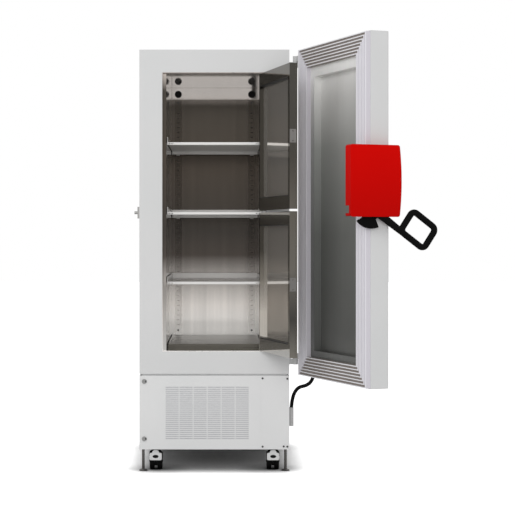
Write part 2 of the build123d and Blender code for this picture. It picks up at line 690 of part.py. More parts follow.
def latch_housing():
    x1 = -DOOR_W / 2 - LATCH_BASE_T
    x0 = x1 - HOUSING_W
    cover = crowned_block(x0, x1, FRONT - HOUSING_FRONT, FRONT + HOUSING_BACK, HOUSING_LOW_Z, HOUSING_TOP_Z)
    cover = fillet(cover.edges().filter_by(Axis.X), HOUSING_EDGE_R)
    hollow = crowned_block(x0 + HOUSING_WALL, x1 + 1, FRONT - HOUSING_FRONT + HOUSING_WALL,
                           FRONT + HOUSING_BACK - HOUSING_WALL, HOUSING_LOW_Z - 1,
                           HOUSING_TOP_Z - HOUSING_WALL)
    hollow = fillet(hollow.edges().filter_by(Axis.X).group_by(Axis.Z)[-1], HOUSING_EDGE_R - HOUSING_WALL)
    cover = cover - hollow
    reach = HALF_W + STRIKER_PLATE_T + STRIKER_L + NOTCH_GAP
    notch = STRIKER_R + NOTCH_GAP
    cover = cover - block(-reach, x1 + 1, FRONT, FRONT + HOUSING_BACK + 1,
                          STRIKER_Z - notch, STRIKER_Z + notch)
    rib = block(x0 + HOUSING_WALL, x1, SKIN_Y + 2 * DOOR_EDGE_R, SLAB_Y, HOUSING_TOP_Z - 4 * CLIP_W,
                HOUSING_TOP_Z - 4 * CLIP_W + CLIP_T)
    return cover + rib


def lever_x():
    x0 = -DOOR_W / 2 - LATCH_BASE_T - HOUSING_W + HOUSING_WALL + 2 * TOUCH_GAP
    return x0, x0 + LEVER_T


def lever_handle():
    x0, x1 = lever_x()
    arm_half = LEVER_ARM_W / 2
    with BuildSketch() as flat:
        with Locations((LOOP_OUT / 2, 0)):
            Rectangle(LOOP_OUT, LEVER_ARM_W)
        with Locations(((LOOP_IN + LOOP_OUT) / 2, LOOP_H / 2 - arm_half)):
            Rectangle(LOOP_OUT - LOOP_IN, LOOP_H)
        fillet(flat.vertices().filter_by(lambda v: v.X > LOOP_IN - 1), LOOP_EDGE_R)
        Circle(LEVER_HUB_R)
        with Locations(((LOOP_IN + LOOP_OUT) / 2, LOOP_H / 2 - arm_half)):
            RectangleRounded(LOOP_OUT - LOOP_IN - 2 * LOOP_BAR, LOOP_H - 2 * LOOP_BAR, LOOP_EDGE_R,
                             mode=Mode.SUBTRACT)
        Circle(PIVOT_R + RUN_FIT, mode=Mode.SUBTRACT)
    c, s = math.cos(math.radians(LEVER_REST)), math.sin(math.radians(LEVER_REST))
    plane = Plane(origin=(x1, PIVOT_Y, PIVOT_Z), x_dir=(0, -c, -s), z_dir=(-1, 0, 0))
    return extrude(plane * flat.sketch, LEVER_T)


def latch_cam():
    x0, x1 = lever_x()
    slot_out = STRIKER_AT + STRIKER_R + CAM_SLOT_GAP
    out = slot_out + CAM_FINGER_W
    with BuildSketch() as flat:
        Circle(CAM_HUB_R)
        with BuildSketch(mode=Mode.PRIVATE) as finger:
            Circle(out)
            Circle(slot_out, mode=Mode.SUBTRACT)
            wedge = [(0, 0)] + [(3 * out * math.cos(math.radians(a)), 3 * out * math.sin(math.radians(a)))
                                for a in (CAM_FROM, (CAM_FROM + CAM_TO) / 2, CAM_TO)]
            Polygon(*wedge, align=None, mode=Mode.INTERSECT)
        add(finger.sketch)
        with BuildSketch(mode=Mode.PRIVATE) as stem:
            Circle(out)
            Circle(CAM_HUB_R - 2, mode=Mode.SUBTRACT)
            wedge = [(0, 0)] + [(3 * out * math.cos(math.radians(a)), 3 * out * math.sin(math.radians(a)))
                                for a in (CAM_FROM, CAM_FROM + 15, CAM_FROM + 30)]
            Polygon(*wedge, align=None, mode=Mode.INTERSECT)
        add(stem.sketch)
        Circle(PIVOT_R + RUN_FIT, mode=Mode.SUBTRACT)
    with BuildSketch() as web:
        Circle(out)
        wedge = [(0, 0)] + [(3 * out * math.cos(math.radians(a)), 3 * out * math.sin(math.radians(a)))
                            for a in (CAM_FROM, (CAM_FROM + CAM_TO) / 2, CAM_TO)]
        Polygon(*wedge, align=None, mode=Mode.INTERSECT)
        Circle(PIVOT_R + RUN_FIT, mode=Mode.SUBTRACT)
    plate = extrude(flat.sketch, CAM_T) + extrude(web.sketch, CAM_WEB_T)
    return Pos(x1, PIVOT_Y, PIVOT_Z) * Rot(0, 90, 0) * Rot(0, 0, 90) * plate


def control_bezel():
    y1 = SKIN_Y
    plate = block(-BEZEL_W / 2, BEZEL_W / 2, y1 - BEZEL_T, y1, BEZEL_LOW_Z, BEZEL_LOW_Z + BEZEL_H)
    plate = fillet(plate.edges().filter_by(Axis.Y), DOOR_EDGE_R)
    return plate - display_block(1)


def display_block(front):
    z0 = BEZEL_LOW_Z + (BEZEL_H - DISPLAY_H) / 2
    y0 = SKIN_Y - BEZEL_T
    return block(-DISPLAY_W / 2, DISPLAY_W / 2, y0 - front, y0 + DISPLAY_T, z0, z0 + DISPLAY_H)


def inner_door(z0, z1):
    x1 = INNER_W / 2
    leaf = block(-x1, x1, INNER_Y, INNER_Y + INNER_T, z0, z1)
    leaf = leaf - inner_recess(z0, z1)
    leaf = leaf - rod_z(INNER_PIN_R + RUN_FIT, z0 - 1, z0 + INNER_PIN_L + TOUCH_GAP, *INNER_PIN)
    return leaf - rod_z(INNER_PIN_R + RUN_FIT, z1 - INNER_PIN_L - TOUCH_GAP, z1 + 1, *INNER_PIN)


def inner_recess(z0, z1):
    return block(-INNER_W / 2 + INNER_RIM_FREE, INNER_W / 2 - INNER_RIM_HINGE,
                 INNER_Y + INNER_T - INNER_RECESS_D, INNER_Y + INNER_T + 1,
                 z0 + INNER_RIM_Z, z1 - INNER_RIM_Z)


def inner_seals(z0, z1):
    y0 = INNER_Y + INNER_T - INNER_RECESS_D
    x0 = -INNER_W / 2 + INNER_RIM_FREE
    x1 = INNER_W / 2 - INNER_RIM_HINGE
    low = z0 + INNER_RIM_Z
    high = z1 - INNER_RIM_Z
    return [block(x0, x1, y0, INNER_Y + INNER_T, low, low + SEAL_T),
            block(x0, x1, y0, INNER_Y + INNER_T, high - SEAL_T, high)]


def catch_plate(z0, z1):
    x1 = -INNER_W / 2
    mid = (z0 + z1) / 2
    y1 = INNER_Y + INNER_T
    plate = block(x1 - CATCH_T, x1, y1 - CATCH_W, y1, mid - CATCH_H / 2, mid + CATCH_H / 2)
    holes = [rod_x(CATCH_SCREW_R, x1 - CATCH_T - 1, x1 + 1, y1 - CATCH_W / 2, mid + s * CATCH_H * 0.36)
             for s in (-1, 1)]
    return plate - holes


def inner_levels():
    return ((INNER_LOW_Z, INNER_SPLIT_Z - INNER_SPLIT_GAP / 2),
            (INNER_SPLIT_Z + INNER_SPLIT_GAP / 2, INNER_TOP_Z))


def inner_hinge_pins():
    (l0, l1), (u0, u1) = inner_levels()
    x1 = HALF_OPEN - BREAKER_T
    half = INNER_SPLIT_GAP / 2 - TOUCH_GAP
    bracket = block(INNER_PIN[0] - 2 * INNER_PIN_R, x1, INNER_PIN[1] - INNER_PIN_R,
                    INNER_PIN[1] + 3 * INNER_PIN_R, INNER_SPLIT_Z - half, INNER_SPLIT_Z + half)
    mid = bracket + rod_z(INNER_PIN_R, l1 - INNER_PIN_L, u0 + INNER_PIN_L, *INNER_PIN)
    low = rod_z(INNER_PIN_R, OPENING_LOW_Z + BREAKER_T, l0 + INNER_PIN_L, *INNER_PIN)
    high = rod_z(INNER_PIN_R, u1 - INNER_PIN_L, OPENING_TOP_Z - BREAKER_T, *INNER_PIN)
    return [mid, low, high]


def caster_spots():
    front = FRONT + CASTER_INSET
    back = BACK - CASTER_INSET
    return {"front_left": (-CASTER_X, front), "front_right": (CASTER_X, front),
            "rear_left": (-CASTER_X, back), "rear_right": (CASTER_X, back)}


def caster_plates():
    half = CASTER_PLATE / 2
    return [block(x - half, x + half, y - half, y + half, BASE_LOW_Z - CASTER_PLATE_T, BASE_LOW_Z)
            for x, y in caster_spots().values()]


def wheel_span():
    return CASTER_WEB_W / 2 + TOUCH_GAP, CASTER_WEB_W / 2 + TOUCH_GAP + WHEEL_W


def caster_fork(x, y, braked):
    top = BASE_LOW_Z - CASTER_PLATE_T - SIDE_FIT
    wy = y - CASTER_TRAIL
    inner = WHEEL_R + HOOD_GAP
    outer = inner + HOOD_T
    reach = wheel_span()[1] + TOUCH_GAP
    hood = rod_x(outer, x - reach, x + reach, wy, WHEEL_R)
    hood = hood - rod_x(inner, x - reach - 1, x + reach + 1, wy, WHEEL_R)
    hood = hood - block(x - 100, x + 100, wy - 100, wy + 100, -100, HOOD_LOW_Z)
    web = block(x - CASTER_WEB_W / 2, x + CASTER_WEB_W / 2, wy - WHEEL_R * 0.6, y + SWIVEL_R, WHEEL_R * 0.5,
                WHEEL_R + outer - 1)
    axle = rod_x(WHEEL_AXLE_R, x - reach - 2, x + reach + 2, wy, WHEEL_R)
    stem = rod_z(SWIVEL_R, WHEEL_R + WHEEL_AXLE_R, top, x, y)
    shade = rod_x(inner, x - reach, x - CASTER_WEB_W / 2, wy, WHEEL_R)
    shade = shade + rod_x(inner, x + CASTER_WEB_W / 2, x + reach, wy, WHEEL_R)
    body = (stem - shade) + hood + web + axle
    if braked:
        body = body + rod_x(PEDAL_PIN_R, x - PEDAL_W / 2, x + PEDAL_W / 2, pedal_y(y), PEDAL_PIN_Z)
        body = body + block(x - CASTER_WEB_W / 2, x + CASTER_WEB_W / 2, pedal_y(y), wy - WHEEL_R * 0.5,
                            PEDAL_PIN_Z - PEDAL_PIN_R, PEDAL_PIN_Z + PEDAL_PIN_R)
    return body


def pedal_y(y):
    return y - CASTER_TRAIL - WHEEL_R - HOOD_GAP - HOOD_T - PEDAL_PIN_R - 4


def brake_pedal(x, y):
    py = pedal_y(y)
    plate = block(x - PEDAL_W / 2, x + PEDAL_W / 2, py - PEDAL_T, py + PEDAL_T / 2, PEDAL_LOW_Z,
                  PEDAL_PIN_Z + PEDAL_T)
    plate = fillet(plate.edges().filter_by(Axis.X), PEDAL_T / 4)
    plate = plate - rod_x(PEDAL_PIN_R + RUN_FIT, x - PEDAL_W, x + PEDAL_W, py, PEDAL_PIN_Z)
    half = CASTER_WEB_W / 2 + TOUCH_GAP
    return plate - block(x - half, x + half, py - PEDAL_PIN_R - TOUCH_GAP, py + PEDAL_T,
                         PEDAL_PIN_Z - 3 * PEDAL_PIN_R, PEDAL_PIN_Z + 4 * PEDAL_PIN_R)


def caster_wheels(x, y):
    wy = y - CASTER_TRAIL
    near, far = wheel_span()
    wheels = []
    for side in (-1, 1):
        tread = rod_x(WHEEL_R, x + side * near, x + side * far, wy, WHEEL_R)
        tread = fillet(tread.edges().filter_by(GeomType.CIRCLE), 3.0)
        bore = rod_x(WHEEL_AXLE_R + RUN_FIT, x + side * (near - 1), x + side * (far + 1), wy, WHEEL_R)
        wheels.append(tread - bore)
    return wheels


def levelling_foot(side):
    x = side * FOOT_X
    y = FRONT + FOOT_INSET
    pad = rod_z(FOOT_PAD_R, 0, FOOT_PAD_T, x, y)
    pad = chamfer(pad.edges().sort_by(Axis.Z)[-1], FOOT_PAD_T / 2)
    return pad + rod_z(FOOT_ROD_R, FOOT_PAD_T, FOOT_ROD_TOP_Z, x, y)


def cable_tube():
    tube = rod_z(TUBE_R, TUBE_LOW_Z, TUBE_LOW_Z + TUBE_H, TUBE_X, TUBE_Y)
    return tube - rod_z(CABLE_R, TUBE_LOW_Z + FOOT_PAD_T, TUBE_LOW_Z + TUBE_H + 1, TUBE_X, TUBE_Y)


def door_cable():
    shut = (CABLE_DOOR_X - HINGE[0], SLAB_Y - CABLE_DOOR_DEPTH - HINGE[1])
    c, s = math.cos(math.radians(DOOR_OPEN)), math.sin(math.radians(DOOR_OPEN))
    end = (HINGE[0] + shut[0] * c - shut[1] * s, HINGE[1] + shut[0] * s + shut[1] * c)
    points = [Vector(TUBE_X, TUBE_Y, TUBE_LOW_Z + TUBE_H / 2), Vector(TUBE_X, TUBE_Y, CABLE_BEND_LOW_Z),
              Vector(*end, CABLE_BEND_TOP_Z), Vector(*end, DOOR_LOW_Z + CABLE_IN_DOOR)]
    runs = [b - a for a, b in zip(points, points[1:])]
    radii = [CABLE_RUN_SHARE * min(a.length, b.length) / math.tan(math.radians(a.get_angle(b) / 2))
             for a, b in zip(runs, runs[1:])]
    print("cable bend radii", [round(r, 1) for r in radii])
    path = FilletPolyline(*points, radius=radii)
    return sweep(Plane(origin=points[0], z_dir=(0, 0, 1)) * Circle(CABLE_R), path=path)


def save(name, shape):
    solids = shape if isinstance(shape, list) else list(shape.solids())
    solids = [s for item in solids for s in item.solids()]
    out = solids[0] if len(solids) == 1 else Compound(children=solids)
    out.label = name
    export_step(out, os.path.join("parts", name + ".step"))


def on_outer_door(shape):
    if isinstance(shape, list):
        return [swing(s, HINGE, DOOR_OPEN) for s in shape]
    return swing(shape, HINGE, DOOR_OPEN)


def on_inner_door(shape):
    if isinstance(shape, list):
        return [swing(s, INNER_PIN, INNER_OPEN) for s in shape]
    return swing(shape, INNER_PIN, INNER_OPEN)


os.makedirs("parts", exist_ok=True)
save("cabinet_shell", cabinet_shell())
save("front_frame", front_frame())
save("insulation", insulation())
save("inner_liner", inner_liner())
save("breaker_strip", breaker_strip())
save("rear_top_plate", rear_top_plate())
save("port_plugs", port_plugs())
save("shelf_rails", [shelf_rail(-1), shelf_rail(1)])
save("shelf_clips", shelf_clips())
for shelf_name, shelf_level in shelf_levels().items():
    save("shelf_" + shelf_name, shelf(shelf_level))
save("floor_tray", floor_tray())
save("base_shell", base_shell())
save("service_panel", service_panel())
save("cam_lock_lower", cam_lock(LOCK_LOW_Z))
save("cam_lock_upper", cam_lock(LOCK_TOP_Z))
save("screw_heads", screw_heads())
save("filter_mat", filter_mat())
save("condenser", condenser())
save("fan_shroud", fan_shroud())
save("fan_rotor", fan_rotor())
save("compressor_first_stage", compressor(COMPRESSOR_BACK_1))
save("compressor_second_stage", compressor(COMPRESSOR_BACK_2))
save("striker_plate", striker_plate())
save("striker_pin", striker_pin())
save("hinge_brackets", hinge_brackets())
save("hinge_pins", hinge_pins() + inner_hinge_pins())
save("hinge_leaves", on_outer_door(hinge_leaves()))
save("door_shell", on_outer_door(door_shell()))
save("door_foam", on_outer_door(door_foam()))
save("door_inner_panel", on_outer_door(door_inner_panel()))
save("door_gasket", on_outer_door(door_gasket()))
save("latch_base", on_outer_door(latch_base()))
save("latch_housing", on_outer_door(latch_housing()))
save("lever_handle", on_outer_door(lever_handle()))
save("latch_cam", on_outer_door(latch_cam()))
save("control_bezel", on_outer_door(control_bezel()))
save("display_glass", on_outer_door(display_block(0)))
lower_levels, upper_levels = inner_levels()
for inner_name, levels in (("lower", lower_levels), ("upper", upper_levels)):
    save(inner_name + "_inner_door", on_inner_door(inner_door(*levels)))
    save(inner_name + "_inner_seals", on_inner_door(inner_seals(*levels)))
    save(inner_name + "_catch_plate", on_inner_door(catch_plate(*levels)))
save("caster_plates", caster_plates())
for spot, at in caster_spots().items():
    save("caster_fork_" + spot, caster_fork(*at, spot.startswith("front")))
    save("caster_wheels_" + spot, caster_wheels(*at))
save("brake_pedal_left", brake_pedal(*caster_spots()["front_left"]))
save("brake_pedal_right", brake_pedal(*caster_spots()["front_right"]))
save("levelling_foot_left", levelling_foot(-1))
save("levelling_foot_right", levelling_foot(1))
save("cable_tube", cable_tube())
save("door_cable", door_cable())
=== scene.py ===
import math

import bmesh
import bpy
import numpy as np
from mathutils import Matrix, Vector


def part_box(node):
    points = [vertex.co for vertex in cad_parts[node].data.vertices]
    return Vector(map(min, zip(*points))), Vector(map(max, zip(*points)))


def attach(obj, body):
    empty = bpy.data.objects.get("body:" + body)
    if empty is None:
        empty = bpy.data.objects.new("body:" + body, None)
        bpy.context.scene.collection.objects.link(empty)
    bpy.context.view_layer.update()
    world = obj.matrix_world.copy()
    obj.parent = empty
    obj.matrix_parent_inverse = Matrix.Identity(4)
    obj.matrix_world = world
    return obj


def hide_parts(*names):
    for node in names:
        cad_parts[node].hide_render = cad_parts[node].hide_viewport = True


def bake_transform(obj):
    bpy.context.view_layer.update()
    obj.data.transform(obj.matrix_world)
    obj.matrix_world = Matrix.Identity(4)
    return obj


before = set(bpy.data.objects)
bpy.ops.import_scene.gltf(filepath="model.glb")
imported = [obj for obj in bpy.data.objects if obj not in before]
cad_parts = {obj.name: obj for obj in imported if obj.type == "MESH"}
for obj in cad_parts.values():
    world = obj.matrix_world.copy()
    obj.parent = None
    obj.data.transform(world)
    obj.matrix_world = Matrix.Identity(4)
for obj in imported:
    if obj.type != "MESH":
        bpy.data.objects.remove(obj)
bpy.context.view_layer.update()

# The studio: a white sweep with soft, even light from all round, a large soft box high at the front left
# and a second one over the camera, which reaches into the gap behind the open door.
# The camera stands square to the cabinet front, a little right of its middle and at chest height.
view = bpy.data.cameras.new("front_camera")
view.lens = 103.4
view.sensor_width = 36.0
view.shift_x = 0.0728
view.shift_y = -0.0359
view.clip_end = 100.0
camera = bpy.data.objects.new("front_camera", view)
camera.location = (0.0264, -7.365, 1.0844)
camera.rotation_euler = (math.pi / 2, 0.0, 0.0)
bpy.context.scene.collection.objects.link(camera)
bpy.context.scene.camera = camera
bpy.context.scene.view_settings.view_transform = "Standard"


def figured(parts, wires, operation, *terms):
    """One step of sums on values that vary over a surface; each term is a node's output or a number."""
    step = parts.new("ShaderNodeMath")
    step.operation = operation
    for socket, term in zip(step.inputs, terms):
        if isinstance(term, (int, float)):
            socket.default_value = term
        else:
            wires.new(term, socket)
    return step.outputs[0]


sky = bpy.data.worlds.new("white_studio")
sky.use_nodes = True
sky_nodes, sky_links = sky.node_tree.nodes, sky.node_tree.links
sky_nodes.clear()
soft_fill = sky_nodes.new("ShaderNodeBackground")
soft_fill.inputs["Color"].default_value = (1.0, 1.0, 1.0, 1.0)
soft_fill.inputs["Strength"].default_value = 0.56
plain_white = sky_nodes.new("ShaderNodeBackground")
plain_white.inputs["Color"].default_value = (1.0, 1.0, 1.0, 1.0)
plain_white.inputs["Strength"].default_value = 1.0
ray = sky_nodes.new("ShaderNodeLightPath")
seen = figured(sky_nodes, sky_links, "MAXIMUM", ray.outputs["Is Camera Ray"], ray.outputs["Is Glossy Ray"])
seen = figured(sky_nodes, sky_links, "MAXIMUM", seen, ray.outputs["Is Transmission Ray"])
sky_mix = sky_nodes.new("ShaderNodeMixShader")
sky_links.new(seen, sky_mix.inputs["Fac"])
sky_links.new(soft_fill.outputs[0], sky_mix.inputs[1])
sky_links.new(plain_white.outputs[0], sky_mix.inputs[2])
sky_out = sky_nodes.new("ShaderNodeOutputWorld")
sky_links.new(sky_mix.outputs[0], sky_out.inputs["Surface"])
bpy.context.scene.world = sky


def soft_lamp(name, width, height, watts, place, tilt, turn):
    """A large flat lamp: its size and place in metres, its power, and its tilt and turn in degrees."""
    box = bpy.data.lights.new(name, "AREA")
    box.shape = "RECTANGLE"
    box.size = width
    box.size_y = height
    box.energy = watts
    lamp = bpy.data.objects.new(name, box)
    lamp.location = place
    lamp.rotation_euler = (math.radians(tilt), 0.0, math.radians(turn))
    bpy.context.scene.collection.objects.link(lamp)
    return lamp


soft_lamp("soft_box", 3.5, 2.5, 48.0, place=(-2.6, -4.6, 3.6), tilt=58.0, turn=-30.0)
front_lamp = soft_lamp("front_box", 2.0, 2.0, 105.0, place=(0.2, -6.8, 1.9), tilt=83.0, turn=0.0)
front_lamp.visible_glossy = False

floor_mesh = bpy.data.meshes.new("pale_floor")
far = 30.0
floor_corners = [(-far, -far, 0.0), (far, -far, 0.0), (far, far, 0.0), (-far, far, 0.0)]
floor_mesh.from_pydata(floor_corners, [], [(0, 1, 2, 3)])
pale_floor = bpy.data.objects.new("pale_floor", floor_mesh)
bpy.context.scene.collection.objects.link(pale_floor)
floor_paint = bpy.data.materials.new("floor_white")
floor_paint.use_nodes = True
floor_nodes, floor_links = floor_paint.node_tree.nodes, floor_paint.node_tree.links
floor_nodes.clear()
floor_ray = floor_nodes.new("ShaderNodeLightPath")
floor_tone = floor_nodes.new("ShaderNodeMix")
floor_tone.data_type = "RGBA"
floor_tone.clamp_result = False
floor_albedo, floor_seen = 0.86, 2.35
floor_tone.inputs["A"].default_value = (floor_albedo, floor_albedo, floor_albedo, 1.0)
floor_tone.inputs["B"].default_value = (floor_seen, floor_seen, floor_seen, 1.0)
floor_links.new(floor_ray.outputs["Is Camera Ray"], floor_tone.inputs["Factor"])
# The floor's colour is darkened by ambient occlusion: a painted shadow under and close round the cabinet.
near = floor_nodes.new("ShaderNodeAmbientOcclusion")
near.inputs["Distance"].default_value = 0.15
near.samples = 16
painted_floor_shadow = figured(floor_nodes, floor_links, "POWER", near.outputs["AO"], 2.0)
shaded = floor_nodes.new("ShaderNodeVectorMath")
shaded.operation = "SCALE"
floor_links.new(floor_tone.outputs["Result"], shaded.inputs[0])
floor_links.new(painted_floor_shadow, shaded.inputs["Scale"])
floor_shader = floor_nodes.new("ShaderNodeBsdfDiffuse")
floor_links.new(shaded.outputs["Vector"], floor_shader.inputs["Color"])
floor_out = floor_nodes.new("ShaderNodeOutputMaterial")
floor_links.new(floor_shader.outputs[0], floor_out.inputs["Surface"])
floor_mesh.materials.append(floor_paint)


# The cabinet: folded sheet steel, powder coated in a light neutral grey with a very fine orange peel.
# The base and its service panel, made apart from the cabinet, are a shade paler: painted light against the
# shade near the floor.
def start_finish(name):
    """An empty finish: its shader, and the piece's own coordinates in metres to hang patterns on."""
    finish = bpy.data.materials.new(name)
    finish.use_nodes = True
    parts, wires = finish.node_tree.nodes, finish.node_tree.links
    place = parts.new("ShaderNodeTexCoord")
    return finish, parts, wires, parts["Principled BSDF"], place.outputs["Object"]


def speckle(parts, wires, place, scale, detail=3.0):
    """Soft noise over the piece; scale is in bumps per metre, one number or one for each axis."""
    if not isinstance(scale, (int, float)):
        stretch = parts.new("ShaderNodeMapping")
        stretch.inputs["Scale"].default_value = scale
        wires.new(place, stretch.inputs["Vector"])
        place, scale = stretch.outputs["Vector"], 1.0
    noise = parts.new("ShaderNodeTexNoise")
    noise.inputs["Scale"].default_value = scale
    noise.inputs["Detail"].default_value = detail
    wires.new(place, noise.inputs["Vector"])
    return noise.outputs["Fac"]


def spread(parts, wires, value, low, high, to_low, to_high):
    """Moves a value from one span to another, held at both ends."""
    span = parts.new("ShaderNodeMapRange")
    span.inputs["From Min"].default_value = low
    span.inputs["From Max"].default_value = high
    span.inputs["To Min"].default_value = to_low
    span.inputs["To Max"].default_value = to_high
    wires.new(value, span.inputs["Value"])
    return span.outputs["Result"]


def linear(r, g, b):
    """A colour read as 0 to 255 display values, turned into the linear values that shaders take."""
    c = np.array([r, g, b], float) / 255.0
    c = np.where(c <= 0.04045, c / 12.92, ((c + 0.055) / 1.055) ** 2.4)
    return (float(c[0]), float(c[1]), float(c[2]), 1.0)


def colour_steps(parts, wires, value, steps):
    """A run of colours along a value from 0 to 1; steps are (place, (r, g, b)) in display values."""
    ramp = parts.new("ShaderNodeValToRGB")
    run = ramp.color_ramp.elements
    run[0].position, run[0].color = steps[0][0], linear(*steps[0][1])
    run[1].position, run[1].color = steps[-1][0], linear(*steps[-1][1])
    for at, colour in steps[1:-1]:
        step = run.new(at)
        step.color = linear(*colour)
    wires.new(value, ramp.inputs["Fac"])
    return ramp.outputs["Color"]


def coated(name, dark, light, rough, peel, depth, edge=0.0, gloss=0.5):
    """A coat whose tone drifts a little over the piece, with a fine bump of peel waves to the metre and
    the depth given, edges softened over a radius if asked, and gloss for the strength of its shine."""
    finish, parts, wires, shader, place = start_finish(name)
    shader.inputs["Specular IOR Level"].default_value = gloss
    drift = spread(parts, wires, speckle(parts, wires, place, 2.3, 2.0), 0.3, 0.7, 0.0, 1.0)
    wires.new(colour_steps(parts, wires, drift, [(0.0, dark), (1.0, light)]), shader.inputs["Base Color"])
    grain = speckle(parts, wires, place, peel, 2.0)
    wires.new(spread(parts, wires, grain, 0.3, 0.7, rough - 0.06, rough + 0.06), shader.inputs["Roughness"])
    bump = parts.new("ShaderNodeBump")
    bump.inputs["Strength"].default_value = 0.25
    bump.inputs["Distance"].default_value = depth
    wires.new(grain, bump.inputs["Height"])
    if edge:
        soft = parts.new("ShaderNodeBevel")
        soft.samples = 4
        soft.inputs["Radius"].default_value = edge
        wires.new(soft.outputs["Normal"], bump.inputs["Normal"])
    wires.new(bump.outputs["Normal"], shader.inputs["Normal"])
    return finish


def give(finish, *names):
    """Puts a finish on carried-over nodes, in every slot that each of them has."""
    for name in names:
        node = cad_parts[name]
        if not node.material_slots:
            node.data.materials.append(finish)
        for place in node.material_slots:
            place.material = finish


cabinet_grey = coated("cabinet_grey", (210, 211, 211), (214, 214, 214), 0.46, 620.0, 0.00012)
give(cabinet_grey, "cabinet_shell", "front_frame")
base_painted_light = coated("base_painted_light", (219, 220, 220), (224, 224, 224), 0.46, 620.0, 0.00012)
give(base_painted_light, "base_shell", "service_panel")

# The foam between the cabinet skin and the liner, and in the door: poured in place, never seen in use.
# It gets its own pale cut-foam finish for anyone who opens the model up.
foam_yellow = coated("foam_yellow", (222, 206, 160), (236, 222, 180), 0.9, 380.0, 0.0006)
give(foam_yellow, "insulation", "door_foam")


# The liner: bright-rolled stainless sheet, welded into a tub and almost as smooth as a mirror.
# The back wall and the flange at the mouth carry painted reflections: the dim and bright bands that the
# polished tub throws on them; the sides only reflect.
def axes(parts, wires, place):
    """The three coordinates of a place, each on its own."""
    split = parts.new("ShaderNodeSeparateXYZ")
    wires.new(place, split.inputs[0])
    return split.outputs


def mixed(parts, wires, mask, below, above):
    """One tone where the mask is 0 and another where it is 1; each is a node's output or a display colour."""
    mix = parts.new("ShaderNodeMix")
    mix.data_type = "RGBA"
    wires.new(mask, mix.inputs["Factor"])
    for socket, tone in ((mix.inputs["A"], below), (mix.inputs["B"], above)):
        if isinstance(tone, tuple):
            socket.default_value = linear(*tone)
        else:
            wires.new(tone, socket)
    return mix.outputs["Result"]


def tone_run(parts, wires, value, steps):
    """A run of colours along a value in metres, through steps of (place, colour)."""
    low, high = steps[0][0], steps[-1][0]
    along = spread(parts, wires, value, low, high, 0.0, 1.0)
    return colour_steps(parts, wires, along, [((at - low) / (high - low), colour) for at, colour in steps])


def taken_home(parts, wires, place, turn, pivot):
    """Where the points of an opened door lie once the door is turned back shut about its pivot."""
    c, s = math.cos(turn), math.sin(turn)
    home = parts.new("ShaderNodeMapping")
    home.inputs["Rotation"].default_value = (0.0, 0.0, -turn)
    home.inputs["Location"].default_value = (pivot[0] - (c * pivot[0] + s * pivot[1]),
                                             pivot[1] - (c * pivot[1] - s * pivot[0]), 0.0)
    wires.new(place, home.inputs["Vector"])
    return home.outputs["Vector"]


def polished(name, steps, rough, axis="Z", streak=(30.0, 30.0, 0.8), turn=0.0, pivot=(0.0, 0.0), metal=1.0,
             fade=0.1):
    """Polished sheet whose tone runs along one axis through steps of (place in metres, colour), with faint
    rolling streaks of strength fade. metal is lower where the sheet has a clear film or a dull, rubbed face.
    turn and pivot take the place of an opened door back to where the door is shut, so the run stays on it."""
    finish, parts, wires, shader, place = start_finish(name)
    if turn:
        place = taken_home(parts, wires, place, turn, pivot)
    tone = tone_run(parts, wires, axes(parts, wires, place)[axis], steps)
    rolled = speckle(parts, wires, place, streak, 4.0)
    shade = parts.new("ShaderNodeMix")
    shade.data_type = "RGBA"
    shade.blend_type = "MULTIPLY"
    shade.inputs["Factor"].default_value = 1.0
    wires.new(tone, shade.inputs["A"])
    dim = spread(parts, wires, rolled, 0.3, 0.7, 1.0 - fade, 1.0 + 0.6 * fade)
    wires.new(dim, shade.inputs["B"])
    wires.new(shade.outputs["Result"], shader.inputs["Base Color"])
    shader.inputs["Metallic"].default_value = metal
    wires.new(spread(parts, wires, rolled, 0.3, 0.7, rough * 0.8, rough * 1.25), shader.inputs["Roughness"])
    bump = parts.new("ShaderNodeBump")
    bump.inputs["Strength"].default_value = 0.06
    bump.inputs["Distance"].default_value = 0.0002
    wires.new(rolled, bump.inputs["Height"])
    wires.new(bump.outputs["Normal"], shader.inputs["Normal"])
    return finish, parts, wires, shader, place, shade.outputs["Result"]


# Painted reflection bands up the back wall, by height in metres.
wall_painted_reflections = [(0.55, (255, 253, 250)), (0.74, (234, 228, 222)), (1.00, (82, 76, 71)), (1.12, (70, 66, 62)),
              (1.45, (80, 73, 66)), (1.78, (78, 73, 67)), (1.88, (214, 204, 196))]
liner_steel, parts, wires, shader, place, banded = polished("liner_steel", wall_painted_reflections, 0.06)
depth = axes(parts, wires, place)["Y"]
back_near, back_far = 0.355, 0.366
on_back = spread(parts, wires, depth, back_near, back_far, 0.0, 1.0)
on_flange = spread(parts, wires, depth, -0.40, -0.37, 1.0, 0.0)
banded_part = figured(parts, wires, "MAXIMUM", on_back, on_flange)
side_tone = colour_steps(parts, wires, speckle(parts, wires, place, (6.0, 1.5, 1.0), 3.0),
                         [(0.3, (232, 229, 225)), (0.7, (246, 244, 241))])
wires.new(mixed(parts, wires, banded_part, side_tone, banded), shader.inputs["Base Color"])
wires.new(spread(parts, wires, depth, back_near, back_far, 0.05, 0.2), shader.inputs["Roughness"])
wires.new(spread(parts, wires, banded_part, 0.0, 1.0, 0.7, 1.0), shader.inputs["Metallic"])
give(liner_steel, "inner_liner")

# The jamb strip: a glossy plastic breaker between the cold liner and the painted frame, snapped into the
# mouth. Its colour carries the same painted reflection bands as the tub beside it.
jamb_gloss = polished("jamb_gloss", wall_painted_reflections, 0.3, metal=0.4)[0]
give(jamb_gloss, "breaker_strip")

